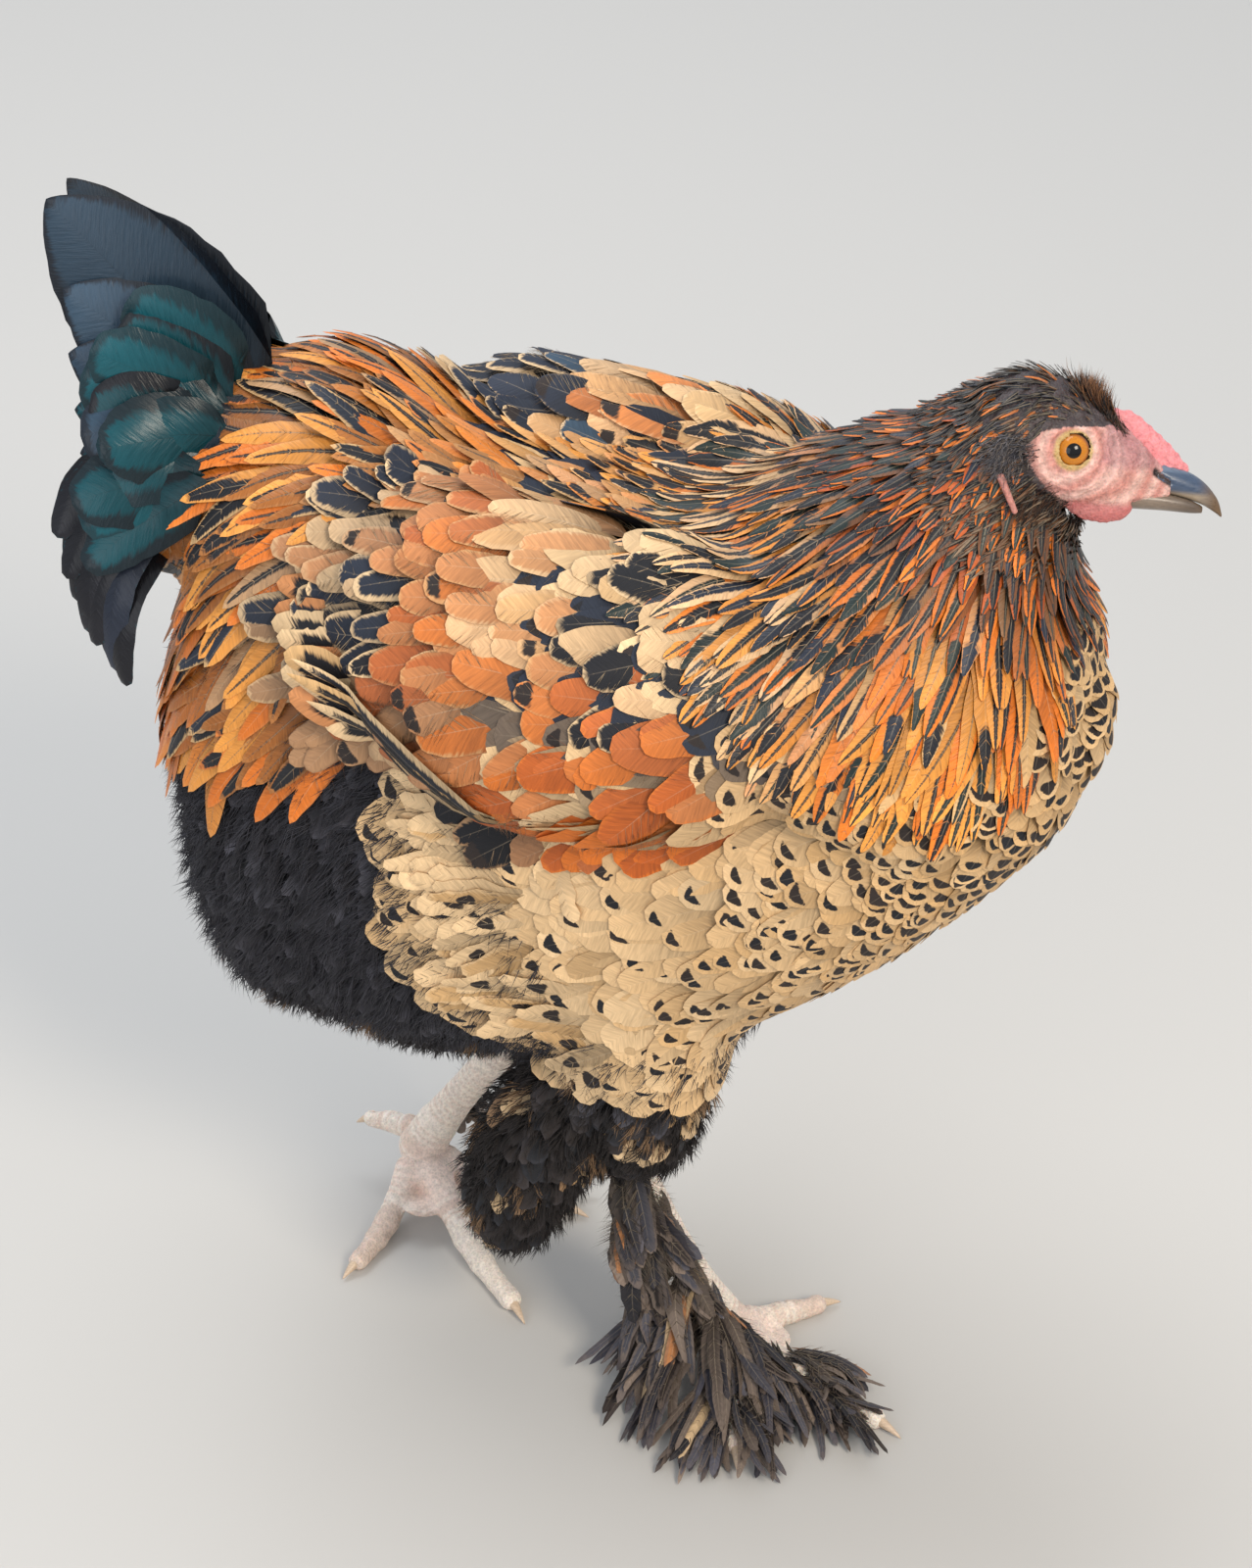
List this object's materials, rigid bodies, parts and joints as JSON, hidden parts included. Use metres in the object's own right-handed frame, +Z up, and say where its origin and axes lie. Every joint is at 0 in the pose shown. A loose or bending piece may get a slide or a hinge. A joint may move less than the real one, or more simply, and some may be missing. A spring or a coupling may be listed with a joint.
{
  "type": "brahma chicken model",
  "caption": "Life-size still model of a young brahma cockerel mid-step, with golden hackle, spotted buff breast, dark fluff and feathered feet.",
  "frame": {"origin": "on the floor below the middle of the bird's bounding box", "axes": "+X towards the beak, +Y towards the bird's left side, +Z up"},
  "size_m": [0.3998, 0.2124, 0.4436],
  "materials": {
    "head_feather": "short dark head feathers over pink facial skin",
    "comb_skin": "moist pink skin of the comb and wattles",
    "beak_horn": "slate horn, paler at the base and brown at the tip",
    "eye_gloss": "amber iris with a black pupil under a clear wet surface",
    "hackle_feather": "glossy golden orange hackle with dark centres",
    "breast_feather": "buff feathers with dark spots near their tips",
    "saddle_feather": "glossy orange saddle hackle with thin dark shafts",
    "fluff_down": "soft charcoal down",
    "wing_feather": "rust, buff and blue-black wing feathers with cream edges",
    "tail_feather": "blue-black tail feathers with a green sheen",
    "leg_feather": "black-brown leg feathers with cream patches",
    "leg_scale": "pale pinkish cream scutes",
    "claw_horn": "pale horn"
  },
  "bodies": {
    "root": {"beak_lower": "beak_horn", "beak_upper": "beak_horn", "claw_left_hind": "claw_horn", "claw_left_inner": "claw_horn", "claw_left_middle": "claw_horn", "claw_left_outer": "claw_horn", "claw_right_hind": "claw_horn", "claw_right_inner": "claw_horn", "claw_right_middle": "claw_horn", "claw_right_outer": "claw_horn", "comb": "comb_skin", "eye_left": "eye_gloss", "eye_right": "eye_gloss", "fluff": "fluff_down", "head": "head_feather", "hock_left": "leg_feather", "hock_right": "leg_feather", "neck": "hackle_feather", "saddle": "saddle_feather", "shank_left": "leg_scale", "shank_right": "leg_scale", "tail": "tail_feather", "thigh_left": "leg_feather", "thigh_right": "leg_feather", "toe_left_hind": "leg_scale", "toe_left_inner": "leg_scale", "toe_left_middle": "leg_scale", "toe_left_outer": "leg_scale", "toe_right_hind": "leg_scale", "toe_right_inner": "leg_scale", "toe_right_middle": "leg_scale", "toe_right_outer": "leg_scale", "torso": "breast_feather", "wattle_left": "comb_skin", "wattle_right": "comb_skin", "wing_left": "wing_feather", "wing_right": "wing_feather"}
  },
  "joints": []
}
